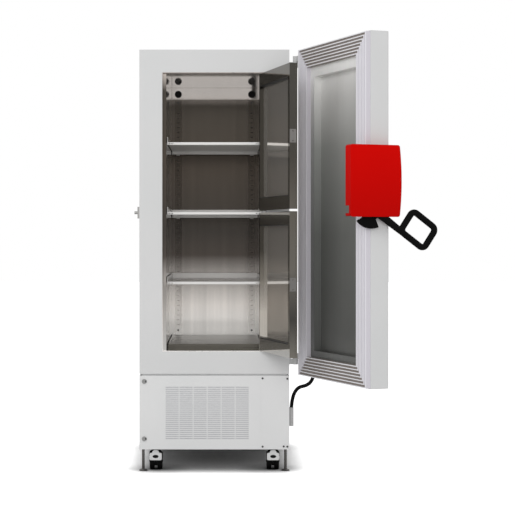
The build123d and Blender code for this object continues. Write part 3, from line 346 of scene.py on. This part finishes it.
# The plate across the top of the back wall covers the access ports; it is a paler, bright stainless sheet.
# Four soft black rubber plugs push into the ports.
plate_steel = polished("plate_steel", [(1.80, (254, 246, 240)), (1.88, (255, 248, 243))], 0.06, fade=0.02)[0]
give(plate_steel, "rear_top_plate")
plug_rubber = coated("plug_rubber", (10, 10, 10), (22, 21, 20), 0.7, 900.0, 0.0002)
give(plug_rubber, "port_plugs", "upper_inner_seals", "lower_inner_seals")

# The shelves: stainless sheet folded down at the front and up along the sides and back, resting on small
# clips that hook into slotted uprights. The folds and faces are bright, with a fine cross grain.
# Their undersides are painted near white and not metallic, as painted light from below.
shelf_metal = 0.35
shelf_steel, parts, wires, shader, place, top_tone = polished(
    "shelf_steel", [(-0.4, (228, 227, 225)), (0.34, (216, 213, 210))], 0.22, axis="Y",
    streak=(2.0, 140.0, 140.0), metal=shelf_metal)
facing = axes(parts, wires, parts.new("ShaderNodeTexCoord").outputs["Normal"])
painted_lit_underside = spread(parts, wires, facing["Z"], -0.6, -0.4, 1.0, 0.0)
wires.new(mixed(parts, wires, painted_lit_underside, top_tone, (253, 253, 252)), shader.inputs["Base Color"])
wires.new(spread(parts, wires, painted_lit_underside, 0.0, 1.0, shelf_metal, 0.0), shader.inputs["Metallic"])
give(shelf_steel, "shelf_top", "shelf_middle", "shelf_bottom")
# The uprights carry the back wall's painted reflection bands, with a grey stop at the top.
rail_steel = polished("rail_steel", wall_painted_reflections[:-1] + [(1.88, (150, 144, 138))], 0.3)[0]
give(rail_steel, "shelf_rails")
clip_steel = polished("clip_steel", [(0.5, (150, 146, 142)), (1.9, (150, 146, 142))], 0.3)[0]
give(clip_steel, "shelf_clips")

# The floor tray: one more folded stainless sheet, laid in the bottom of the tub.
# Its colour is a dim grey as painted shade, darkest at its front lip.
tray_painted_shade = [(-0.34, (104, 101, 94)), (-0.2, (116, 114, 108)), (0.36, (124, 121, 115))]
tray_steel = polished("tray_steel", tray_painted_shade, 0.3, axis="Y", streak=(2.0, 120.0, 120.0))[0]
give(tray_steel, "floor_tray")

# The inner doors: thin foam leaves in polished metal skins, each with a shallow pan on the cold side.
# They hang on pins in the right jamb and close one above the other in the mouth. Their rims carry a painted
# reflection, pale at the top; the pan's wall beside the pins carries a painted reflection that goes dark
# lower down, and the free ends are dull and painted dark in bands up the height as painted shade.
leaf_turn, leaf_pin = math.radians(104.8), (0.231, -0.459)
leaf_metal, leaf_rough = 0.85, 0.06
leaf_painted_reflection = [(0.56, (196, 193, 188)), (0.76, (122, 118, 111)), (1.20, (128, 123, 114)),
              (1.86, (108, 104, 97))]
leaf_skin, parts, wires, shader, place, rim_tone = polished(
    "leaf_skin", leaf_painted_reflection, leaf_rough, turn=leaf_turn, pivot=leaf_pin, metal=leaf_metal, fade=0.04)
on_leaf = axes(parts, wires, place)
in_pan = spread(parts, wires, on_leaf["Y"], -0.452, -0.450, 1.0, 0.0)
by_pins = spread(parts, wires, on_leaf["X"], 0.2225, 0.2235, 0.0, 1.0)
at_end = spread(parts, wires, on_leaf["X"], -0.2355, -0.2345, 1.0, 0.0)
# The pan's wall beside the pins: painted reflection, pale high up and dark lower down.
pin_wall_painted_reflection = [(0.56, (252, 249, 244)), (0.74, (246, 241, 234)), (0.90, (130, 126, 119)), (1.03, (66, 63, 58)),
            (1.86, (66, 63, 58))]
# The free ends: painted shade in bands up the height.
leaf_end_painted_shade = [(0.56, (112, 108, 100)), (0.73, (50, 48, 44)), (0.95, (100, 96, 88)), (1.25, (90, 86, 78)),
            (1.45, (60, 57, 50)), (1.86, (58, 55, 49))]
skin_tone = mixed(parts, wires, in_pan, rim_tone, (226, 221, 214))
skin_tone = mixed(parts, wires, by_pins, skin_tone, tone_run(parts, wires, on_leaf["Z"], pin_wall_painted_reflection))
skin_tone = mixed(parts, wires, at_end, skin_tone, tone_run(parts, wires, on_leaf["Z"], leaf_end_painted_shade))
wires.new(skin_tone, shader.inputs["Base Color"])
wires.new(spread(parts, wires, at_end, 0.0, 1.0, leaf_metal, 0.0), shader.inputs["Metallic"])
wires.new(spread(parts, wires, at_end, 0.0, 1.0, leaf_rough, 0.5), shader.inputs["Roughness"])
give(leaf_skin, "upper_inner_door", "lower_inner_door")
catch_metal = polished("catch_metal", [(0.5, (128, 126, 123)), (1.9, (134, 132, 129))], 0.32)[0]
give(catch_metal, "upper_catch_plate", "lower_catch_plate")


# The inner doors' backs: a shallow drawn cover over the foam of each leaf, in the same skin as the leaf.
# It stands into the outer door's pan when both are shut.
def shut_to_open(points, turn, pin):
    """Turns points of a shut door about its pin to where the door stands open."""
    c, s = math.cos(turn), math.sin(turn)
    dx, dy = points[..., 0] - pin[0], points[..., 1] - pin[1]
    return np.stack([pin[0] + c * dx - s * dy, pin[1] + s * dx + c * dy, points[..., 2]], axis=-1)


def woven(rows, cols, closed_rows, closed_cols):
    """The faces of a grid of points, rows by cols, joined round in either direction where it is closed."""
    r = np.arange(rows if closed_rows else rows - 1)
    c = np.arange(cols if closed_cols else cols - 1)
    r, c = np.meshgrid(r, c, indexing="ij")
    r1, c1 = (r + 1) % rows, (c + 1) % cols
    return np.stack([r * cols + c, r1 * cols + c, r1 * cols + c1, r * cols + c1], axis=-1).reshape(-1, 4)


def piece_from(name, points, faces, finish, body, smooth=40.0):
    """A piece from whole arrays of points and faces, facing outwards, on the body that carries it."""
    mesh = bpy.data.meshes.new(name)
    mesh.from_pydata(points.reshape(-1, 3).tolist(), [], [list(f) for f in faces])
    shape = bmesh.new()
    shape.from_mesh(mesh)
    bmesh.ops.remove_doubles(shape, verts=shape.verts, dist=1e-6)
    bmesh.ops.recalc_face_normals(shape, faces=shape.faces)
    shape.to_mesh(mesh)
    shape.free()
    mesh.polygons.foreach_set("use_smooth", np.ones(len(mesh.polygons), bool))
    mesh.set_sharp_from_angle(angle=math.radians(smooth))
    mesh.materials.append(finish)
    piece = bpy.data.objects.new(name, mesh)
    bpy.context.scene.collection.objects.link(piece)
    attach(piece, body)
    return piece


def soft_bar(path, across_w, across_t, up, closed, sections=28, power=3.0):
    """A bar carried along a flat path: its section is a superellipse, width in the path's plane and
    thickness along up; each ring stands square to the path."""
    ahead = np.roll(path, -1, axis=0) - np.roll(path, 1, axis=0)
    if not closed:
        ahead[0], ahead[-1] = path[1] - path[0], path[-1] - path[-2]
    ahead /= np.linalg.norm(ahead, axis=1, keepdims=True)
    side = np.cross(ahead, up)
    t = np.linspace(0.0, 2 * np.pi, sections, endpoint=False)
    cx = np.sign(np.cos(t)) * np.abs(np.cos(t)) ** (2 / power)
    cy = np.sign(np.sin(t)) * np.abs(np.sin(t)) ** (2 / power)
    width = np.broadcast_to(np.asarray(across_w, float), (len(path),))
    thick = np.broadcast_to(np.asarray(across_t, float), (len(path),))
    return (path[:, None, :] + 0.5 * width[:, None, None] * cx[None, :, None] * side[:, None, :]
            + 0.5 * thick[:, None, None] * cy[None, :, None] * up[None, None, :])


def capped(rings):
    """The faces of a run of rings, with both ends closed."""
    count, around = rings.shape[:2]
    last = (count - 1) * around
    return ([list(f) for f in woven(count, around, False, True)]
            + [list(range(around)), list(range(last, last + around))])


def upright(x, y, rows):
    """A path that goes straight up at x and y, through the heights in rows."""
    return np.stack([np.full(len(rows), x), np.full(len(rows), y), rows], axis=-1)


cover_free, cover_hinge, cover_face, cover_thick = -0.236, 0.170, -0.464, 0.0105
across_y = np.array([0.0, 1.0, 0.0])
for leaf in ("upper", "lower"):
    low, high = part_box(leaf + "_inner_door")
    rows = np.linspace(low[2], high[2], 9)
    back_path = upright((cover_free + cover_hinge) / 2, cover_face - cover_thick / 2, rows)
    back = soft_bar(back_path, cover_hinge - cover_free, cover_thick, across_y, False, sections=48,
                    power=14.0)
    leaf_cover = piece_from(leaf + "_leaf_cover", shut_to_open(back, leaf_turn, leaf_pin), capped(back),
                            leaf_skin, leaf + "_inner_leaf")

# The outer door: a foamed slab in the same painted steel as the cabinet, with a polished pan let into its
# back. The pan's colour is a painted reflection of the room, pale at its top and dim towards its foot.
give(coated("door_grey", (208, 209, 209), (213, 213, 213), 0.46, 620.0, 0.00012, edge=0.003), "door_shell")
door_turn, door_pin = math.radians(111.2), (0.378, -0.468)
pan_painted_reflection = [(0.55, (106, 107, 105)), (1.10, (124, 126, 123)), (1.50, (166, 168, 165)),
             (1.74, (222, 222, 220)), (1.86, (244, 244, 242))]
door_pan = polished("door_pan", pan_painted_reflection, 0.35, turn=door_turn, pivot=door_pin, metal=0.3, fade=0.03)[0]
give(door_pan, "door_inner_panel")

# The door seal: a pale vinyl extrusion with rows of soft lips, cut and welded at the mitred corners.
# The lips are white at their tips; the channels between them carry painted shade, dark along the top and
# bottom runs and paler up the sides.
seal_width, seal_base, seal_lip, lip_count, lip_width = 0.090, 0.017, 0.007, 7, 0.0062
seal_plane, seal_foot, seal_head, across_count = -0.490, 0.454, 1.961, 271
across = np.linspace(0.0, seal_width, across_count)
lip_step = (seal_width - lip_width) / (lip_count - 1)
middle = np.clip(np.round((across - lip_width / 2) / lip_step), 0, lip_count - 1) * lip_step + lip_width / 2
off = np.abs(across - middle) / (lip_width / 2)
height = seal_base + seal_lip * np.sqrt(np.clip(1.0 - off ** 5, 0.0, 1.0))
rim_u = np.concatenate([[0.0], across, [seal_width]])
rim_h = np.concatenate([[0.0], height, [0.0]])
corner_x = np.array([-1.0, 1.0, 1.0, -1.0])
corner_z = np.array([-1.0, -1.0, 1.0, 1.0])
half_x, half_z, mid_z = 0.345, (seal_head - seal_foot) / 2, (seal_head + seal_foot) / 2
seal_points = np.stack([corner_x[:, None] * (half_x - rim_u[None, :]),
                        np.broadcast_to(seal_plane + rim_h[None, :], (4, len(rim_u))),
                        mid_z + corner_z[:, None] * (half_z - rim_u[None, :])], axis=-1)
seal_vinyl, parts, wires, shader, place = start_finish("seal_vinyl")
on_door = axes(parts, wires, taken_home(parts, wires, place, door_turn, door_pin))
lip_foot = seal_plane + seal_base
lip_tone = spread(parts, wires, on_door["Y"], lip_foot, lip_foot + seal_lip, 0.0, 1.0)
lip_white, lip_pale = (240, 239, 243), (214, 212, 218)
# Painted shade down into the channels: dark on the top and bottom runs, paler on the sides.
painted_shade_runs = colour_steps(parts, wires, lip_tone, [(0.0, (142, 133, 126)), (0.5, (160, 152, 146)),
                                              (0.8, lip_pale), (1.0, lip_white)])
painted_lit_sides = colour_steps(parts, wires, lip_tone, [(0.0, (206, 203, 210)), (0.8, lip_pale), (1.0, lip_white)])


def reach(parts, wires, value, middle, half):
    """How far a point lies inside the edge at half either side of middle."""
    away = figured(parts, wires, "ABSOLUTE", figured(parts, wires, "SUBTRACT", value, middle))
    return figured(parts, wires, "SUBTRACT", half, away)


nearer_end = figured(parts, wires, "SUBTRACT", reach(parts, wires, on_door["X"], 0.0, half_x),
                     reach(parts, wires, on_door["Z"], mid_z, half_z))
end_run = spread(parts, wires, nearer_end, 0.0, 0.001, 0.0, 1.0)
wires.new(mixed(parts, wires, end_run, painted_lit_sides, painted_shade_runs), shader.inputs["Base Color"])
lip_grain = speckle(parts, wires, place, 240.0)
wires.new(spread(parts, wires, lip_grain, 0.3, 0.7, 0.38, 0.55), shader.inputs["Roughness"])
door_seal = piece_from("door_seal", shut_to_open(seal_points, door_turn, door_pin),
                       woven(4, len(rim_u), True, True), seal_vinyl, "outer_door", smooth=35.0)
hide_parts("door_gasket")

# The hinges: cast knuckles in light grey enamel on ground steel pins, one pair high and one low on the
# right edge. The striker and the latch's base are the same ground steel as the pins.
give(coated("hinge_enamel", (186, 187, 187), (196, 196, 196), 0.42, 500.0, 0.0001, edge=0.0015),
     "hinge_brackets", "hinge_leaves")
pin_steel = polished("pin_steel", [(0.4, (176, 175, 173)), (2.0, (182, 181, 179))], 0.25)[0]
give(pin_steel, "hinge_pins", "striker_pin", "striker_plate", "latch_base")

# The latch cover: a red injection moulding with softened edges, snapped over the latch on the door's free
# edge. Its front is crowned a little from top to bottom, and it has a faint moulding ripple.
cover_red, parts, wires, shader, place = start_finish("cover_red")
cover_low, cover_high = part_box("latch_housing")
# The red is painted darker towards the cover's foot and lighter at its top: painted shade from the light
# above.
fall = spread(parts, wires, axes(parts, wires, place)["Z"], cover_low[2], cover_high[2], 0.0, 1.0)
wires.new(colour_steps(parts, wires, fall, [(0.0, (184, 3, 0)), (0.5, (196, 3, 0)), (1.0, (206, 4, 0))]),
          shader.inputs["Base Color"])
ripple = speckle(parts, wires, place, 420.0, 2.0)
wires.new(spread(parts, wires, ripple, 0.3, 0.7, 0.40, 0.52), shader.inputs["Roughness"])
shader.inputs["Specular IOR Level"].default_value = 0.05
rounded = parts.new("ShaderNodeBevel")
rounded.samples = 6
rounded.inputs["Radius"].default_value = 0.006
bump = parts.new("ShaderNodeBump")
bump.inputs["Strength"].default_value = 0.12
bump.inputs["Distance"].default_value = 0.0001
wires.new(ripple, bump.inputs["Height"])
wires.new(rounded.outputs["Normal"], bump.inputs["Normal"])
wires.new(bump.outputs["Normal"], shader.inputs["Normal"])
give(cover_red, "latch_housing")

# The lever: a cast arm with a rounded square grip, black coated, on a pivot under the cover.
# The grip is a bar of soft-cornered section bent round into a loop; the cam behind it hooks the striker.
lever_black = coated("lever_black", (6, 6, 6), (12, 12, 12), 0.5, 700.0, 0.00015, gloss=0.06)
lean = math.radians(35.0)
lever_at = np.array([-0.388, -0.480, 1.212])
arm_drop = -0.002
arm_way = np.array([0.0, -math.cos(lean), -math.sin(lean)])
loop_way = np.array([0.0, -math.sin(lean), math.cos(lean)])
lever_thick = np.array([1.0, 0.0, 0.0])
quarter = np.linspace(0.0, np.pi / 2, 12)
bend, grip_wide, grip_thick = 0.021, 0.027, 0.019
loop_low, loop_high = np.array([0.1595, -0.0025]), np.array([0.2935, 0.1025])
turn_low, turn_high = loop_low + bend, loop_high - bend
turns = [(turn_high[0], turn_low[1], -np.pi / 2), (turn_high[0], turn_high[1], 0.0),
         (turn_low[0], turn_high[1], np.pi / 2), (turn_low[0], turn_low[1], np.pi)]
loop_ab = np.concatenate([np.stack([a + bend * np.cos(quarter + at), b + bend * np.sin(quarter + at)],
                                   axis=-1) for a, b, at in turns])
loop_path = lever_at + loop_ab[:, :1] * arm_way + loop_ab[:, 1:] * loop_way
grip = soft_bar(loop_path, grip_wide, grip_thick, lever_thick, True)
# The arm has a rounded nose of three rings at its pivot end, then tapers evenly to the loop.
nose, arm_rings, arm_end = 3, 14, 0.186
arm_run = np.concatenate([[-0.0195, -0.017, -0.012], np.linspace(-0.004, arm_end, arm_rings)])
arm_fall = np.concatenate([np.full(nose, arm_drop), np.linspace(arm_drop, loop_low[1], arm_rings)])
arm_path = lever_at + arm_run[:, None] * arm_way + arm_fall[:, None] * loop_way
arm_width = np.concatenate([[0.006, 0.022, 0.032], np.linspace(0.038, 0.0255, arm_rings)])
arm_thick = np.concatenate([[0.010, 0.014, 0.017], np.full(arm_rings, 0.018)])
arm = soft_bar(arm_path, arm_width, arm_thick, lever_thick, False)
grip_rings, grip_around = grip.shape[:2]
lever_faces = [list(f) for f in woven(grip_rings, grip_around, True, True)]
lever_faces += [[v + grip_rings * grip_around for v in f] for f in capped(arm)]
lever_points = np.concatenate([grip.reshape(-1, 3), arm.reshape(-1, 3)])
lever_grip = piece_from("lever_grip", shut_to_open(lever_points, door_turn, door_pin), lever_faces,
                        lever_black, "latch_lever", smooth=50.0)
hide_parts("lever_handle")
give(lever_black, "latch_cam")

# The control face on the door's front: a dark moulded frame round a smoked window, with nothing printed
# on it. Both are set flush into the painted skin.
give(coated("frame_dark", (48, 48, 51), (58, 58, 61), 0.45, 600.0, 0.0001, edge=0.002), "control_bezel")
window_dark, parts, wires, shader, place = start_finish("window_dark")
smoke = speckle(parts, wires, place, 5.0)
wires.new(colour_steps(parts, wires, smoke, [(0.3, (8, 10, 13)), (0.7, (16, 19, 23))]),
          shader.inputs["Base Color"])
shader.inputs["Roughness"].default_value = 0.06
shader.inputs["Coat Weight"].default_value = 0.5
give(window_dark, "display_glass")

# The door's cable: a black rubber flex from the grey conduit on the side of the base up into the door's
# foot. It is tied down at both ends.
flex_route = [(0.3605, -0.435, 0.272), (0.3605, -0.435, 0.385), (0.4594, -0.5201, 0.412),
              (0.4594, -0.5201, 0.470)]
flex_line = bpy.data.curves.new("flex_line", "CURVE")
flex_line.dimensions = "3D"
run = flex_line.splines.new("NURBS")
run.points.add(len(flex_route) - 1)
run.points.foreach_set("co", np.array([p + (1.0,) for p in flex_route]).ravel())
run.order_u = 3
run.use_endpoint_u = True
run.resolution_u = 16
flex_guide = bpy.data.objects.new("flex_guide", flex_line)
bpy.context.scene.collection.objects.link(flex_guide)


def as_mesh(source):
    """The mesh that a curve gives as it stands."""
    bpy.context.view_layer.update()
    return bpy.data.meshes.new_from_object(source.evaluated_get(bpy.context.evaluated_depsgraph_get()))


bare = as_mesh(flex_guide)
flex_points = np.empty(len(bare.vertices) * 3)
bare.vertices.foreach_get("co", flex_points)
flex_points = flex_points.reshape(-1, 3)
bpy.data.meshes.remove(bare)
flex_radius = 0.0085
flex_line.bevel_depth = flex_radius
flex_line.bevel_resolution = 6
flex_line.use_fill_caps = True
flex_tube = as_mesh(flex_guide)
flex_tube.name = "door_flex"
bpy.data.objects.remove(flex_guide)
door_flex = bpy.data.objects.new("door_flex", flex_tube)
bpy.context.scene.collection.objects.link(door_flex)
flex_rubber = coated("flex_rubber", (5, 5, 5), (11, 11, 11), 0.55, 800.0, 0.00015, gloss=0.1)
flex_tube.materials.clear()
flex_tube.materials.append(flex_rubber)
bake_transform(door_flex)
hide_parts("door_cable")
give(coated("conduit_grey", (168, 168, 168), (180, 180, 180), 0.45, 500.0, 0.0001), "cable_tube")

# The service panel's fixings: bright quarter-turn locks with dark centres on the left, small dark screws
# on the right. The filter behind the slots is a pale open mat, so the grille reads light.
fixing_dark = polished("fixing_dark", [(0.0, (66, 66, 66)), (2.0, (74, 74, 74))], 0.35)[0]
give(fixing_dark, "screw_heads")
lock_dark, lock_bright = (56, 56, 56), (150, 150, 149)
dark_reach, dark_soft = 0.0055, 0.0004
for lock in ("cam_lock_lower", "cam_lock_upper"):
    low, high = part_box(lock)
    lock_steel, parts, wires, shader, place = start_finish(lock + "_steel")
    centred = parts.new("ShaderNodeMapping")
    centred.inputs["Location"].default_value = (-(low[0] + high[0]) / 2, 0.0, -(low[2] + high[2]) / 2)
    centred.inputs["Scale"].default_value = (1.0, 0.0, 1.0)
    wires.new(place, centred.inputs["Vector"])
    radius = parts.new("ShaderNodeVectorMath")
    radius.operation = "LENGTH"
    wires.new(centred.outputs["Vector"], radius.inputs[0])
    ring = spread(parts, wires, radius.outputs["Value"], dark_reach - dark_soft, dark_reach + dark_soft,
                  0.0, 1.0)
    wires.new(mixed(parts, wires, ring, lock_dark, lock_bright), shader.inputs["Base Color"])
    shader.inputs["Roughness"].default_value = 0.4
    give(lock_steel, lock)
mat_pale, parts, wires, shader, place = start_finish("mat_pale")
fibre = speckle(parts, wires, place, 900.0, 5.0)
wires.new(colour_steps(parts, wires, fibre, [(0.3, (176, 176, 180)), (0.7, (206, 206, 210))]),
          shader.inputs["Base Color"])
shader.inputs["Roughness"].default_value = 0.95
tangle = parts.new("ShaderNodeBump")
tangle.inputs["Strength"].default_value = 0.5
tangle.inputs["Distance"].default_value = 0.001
wires.new(fibre, tangle.inputs["Height"])
wires.new(tangle.outputs["Normal"], shader.inputs["Normal"])
give(mat_pale, "filter_mat")

# The cold machine behind the panel: finned condenser, fan in its shroud and two black compressor pots in
# line. None of it is seen from the front with the panel on.
give(polished("fin_metal", [(0.0, (150, 150, 150)), (0.5, (168, 168, 168))], 0.4)[0], "condenser")
give(coated("pot_black", (18, 18, 18), (30, 30, 30), 0.4, 160.0, 0.0004), "compressor_first_stage",
     "compressor_second_stage", "fan_shroud", "fan_rotor")

# The casters: black nylon hoods and twin black wheels on bright plates, with brake pedals at the front.
# Each pedal has a pale cover with a dome at its top, and an oval rubber pad let into the face for the shoe.
nylon_black = coated("nylon_black", (5, 5, 5), (11, 11, 11), 0.5, 420.0, 0.0002, gloss=0.15)
tread_black = coated("tread_black", (4, 4, 4), (10, 10, 10), 0.65, 300.0, 0.0003, gloss=0.15)
pedal_pale = coated("pedal_pale", (206, 206, 206), (222, 222, 222), 0.4, 420.0, 0.0001, edge=0.0015)


def dome_half(rows, middle, half, tall, power):
    """Half widths of a superellipse at heights above the floor, with no width past its ends."""
    reach_up = np.clip(np.abs(rows - middle) / tall, 0.0, 1.0)
    return half * (1.0 - reach_up ** power) ** (1.0 / power)


# Each hood rises to a rounded nose in front of the swivel, straight up to its shoulder and domed above it.
caster_side, caster_end, nose_ahead, nose_thick = 0.275, 0.355, 0.069, 0.006
nose_from, nose_shoulder, nose_top = 0.066, 0.076, 0.0985
nose_rows = np.linspace(nose_from, nose_top, 14)
nose_half = dome_half(np.maximum(nose_rows, nose_shoulder), nose_shoulder, half=0.031, tall=0.025, power=2.3)
for corner in ("front_left", "front_right", "rear_left", "rear_right"):
    give(nylon_black, "caster_fork_" + corner)
    give(tread_black, "caster_wheels_" + corner)
    nose_x = caster_side if corner.endswith("right") else -caster_side
    nose_y = (caster_end if corner.startswith("rear") else -caster_end) - nose_ahead
    nose_path = upright(nose_x, nose_y, nose_rows)
    dome = soft_bar(nose_path, 2 * nose_half, nose_thick, across_y, False, sections=48, power=4.0)
    hood_nose = piece_from("hood_nose_" + corner, dome, capped(dome), nylon_black, "caster_" + corner,
                           smooth=50.0)
give(nylon_black, "brake_pedal_left", "brake_pedal_right")
give(pin_steel, "caster_plates")
# A pedal's cover is as wide as a broad plate with round corners or a narrow dome, whichever is the wider.
pedal_thick, pedal_sunk = 0.005, 0.0005
pedal_foot, pedal_top = 0.0495, 0.0972
cover_rows = np.linspace(pedal_foot, pedal_top, 40)
cover_half = np.maximum(dome_half(cover_rows, middle=0.0665, half=0.029, tall=0.0175, power=8.0),
                        dome_half(cover_rows, middle=0.078, half=0.0168, tall=0.0198, power=2.6))
pad_half_wide, pad_half_tall, pad_middle, pad_sunk, pad_deep = 0.0155, 0.0085, 0.067, 0.002, 0.0035
pad_rings, pad_around = 7, 48
spin = np.linspace(0.0, 2 * np.pi, pad_around, endpoint=False)
rise = np.linspace(0.0, 1.0, pad_rings)
out = np.sqrt(1.0 - rise ** 2)
for side in ("left", "right"):
    low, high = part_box("brake_pedal_" + side)
    pedal_x, pedal_face = (low[0] + high[0]) / 2, low[1] - pedal_thick
    cover_path = upright(pedal_x, low[1] - pedal_thick / 2 + pedal_sunk, cover_rows)
    plate = soft_bar(cover_path, 2 * cover_half, pedal_thick, across_y, False, sections=48, power=4.0)
    pedal_cover = piece_from("pedal_cover_" + side, plate, capped(plate), pedal_pale, side + "_brake",
                             smooth=50.0)
    pad = np.stack([pedal_x + pad_half_wide * np.outer(out, np.cos(spin)),
                    pedal_face + pad_sunk - pad_deep * np.outer(rise, np.ones(pad_around)),
                    pad_middle + pad_half_tall * np.outer(out, np.sin(spin))], axis=-1)
    pad_faces = [list(f) for f in woven(pad_rings, pad_around, False, True)] + [list(range(pad_around))]
    shoe_pad = piece_from("shoe_pad_" + side, pad, pad_faces, tread_black, side + "_brake", smooth=60.0)

# The levelling feet: dark plated steel rods with thin round pads, screwed down beside the front casters.
# They are wound up clear to roll the cabinet.
foot_plated = polished("foot_plated", [(0.0, (96, 94, 92)), (0.2, (120, 118, 115))], 0.28)[0]
give(foot_plated, "levelling_foot_left", "levelling_foot_right")
